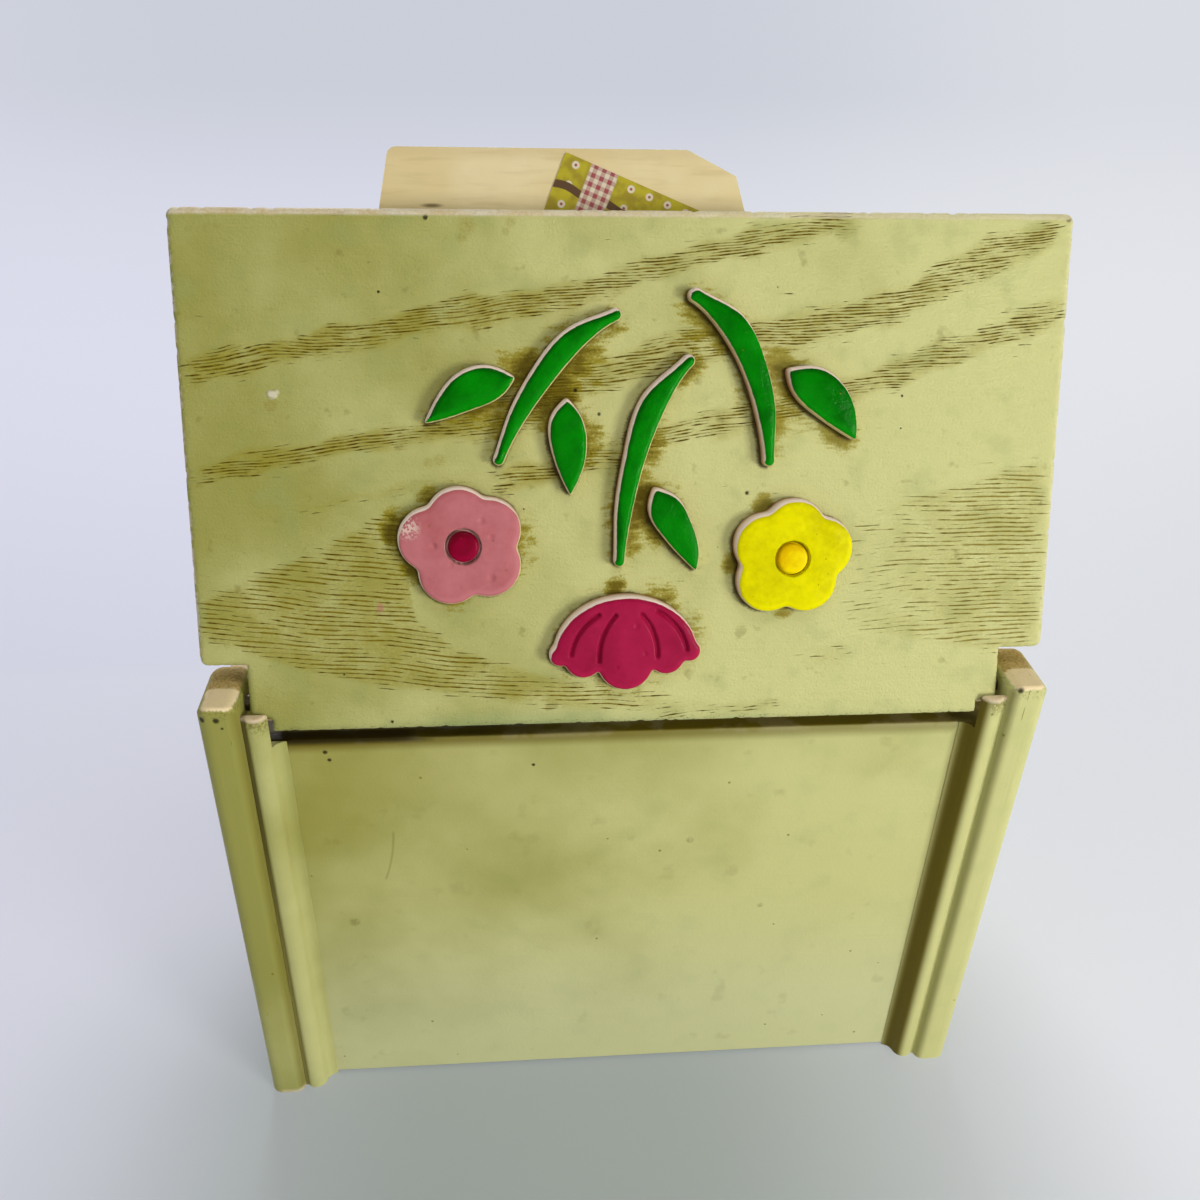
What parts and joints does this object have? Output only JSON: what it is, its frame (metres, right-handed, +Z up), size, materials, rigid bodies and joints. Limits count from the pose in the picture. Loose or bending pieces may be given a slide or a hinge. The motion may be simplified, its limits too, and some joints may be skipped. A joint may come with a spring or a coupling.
{
  "type": "recipe card box",
  "caption": "Painted wooden box for recipe cards: panels framed by posts with beads, a pin-hinged lid with carved flowers standing open, and an index divider.",
  "frame": {"origin": "bottom centre of the whole box, on the surface it stands on", "axes": "+Z up, +X across the box to the right as seen from the hinge side, -Y towards the hinge side, +Y towards the front where the lid opens"},
  "size_m": [0.152, 0.0912, 0.1881],
  "materials": {
    "green_paint": "worn celadon-green satin paint over open-grained wood",
    "bare_wood": "bare, lightly sanded",
    "steel_pin": "plain wire pin",
    "rose_paint": "satin rose paint, worn at the edges",
    "crimson_paint": "satin crimson paint",
    "magenta_paint": "glossy magenta paint, worn at the edges",
    "yellow_paint": "glossy yellow paint, worn at the edges",
    "amber_paint": "glossy amber paint",
    "leaf_paint": "glossy leaf-green paint, worn at the edges",
    "manila_card": "aged manila card",
    "printed_label": "matt printed paper"
  },
  "bodies": {
    "box": {"left_side_board": "green_paint", "right_side_board": "green_paint", "back_panel": "green_paint", "front_panel": "green_paint", "bottom_panel": "bare_wood", "back_left_bead": "green_paint", "back_right_bead": "green_paint", "front_left_bead": "green_paint", "front_right_bead": "green_paint", "left_hinge_pin": "steel_pin", "right_hinge_pin": "steel_pin"},
    "lid": {"lid_board": "green_paint", "card_rail": "bare_wood", "pink_flower": "rose_paint", "pink_flower_button": "crimson_paint", "half_flower": "magenta_paint", "yellow_flower": "yellow_paint", "yellow_flower_button": "amber_paint", "left_stem": "leaf_paint", "middle_stem": "leaf_paint", "right_stem": "leaf_paint", "outer_left_leaf": "leaf_paint", "inner_left_leaf": "leaf_paint", "inner_right_leaf": "leaf_paint", "outer_right_leaf": "leaf_paint"},
    "card": {"divider_card": "manila_card", "divider_label": "printed_label"}
  },
  "joints": [
    {"name": "lid_hinge", "type": "hinge", "parent": "box", "child": "lid", "pos_m": [0, -0.0381, 0.10075], "axis": [1, 0, 0], "range_deg": [-70, 42]},
    {"name": "card_slide", "type": "slide", "parent": "lid", "child": "card", "axis": [0, 0.342, 0.9397], "range_m": [0, 0.04]}
  ]
}
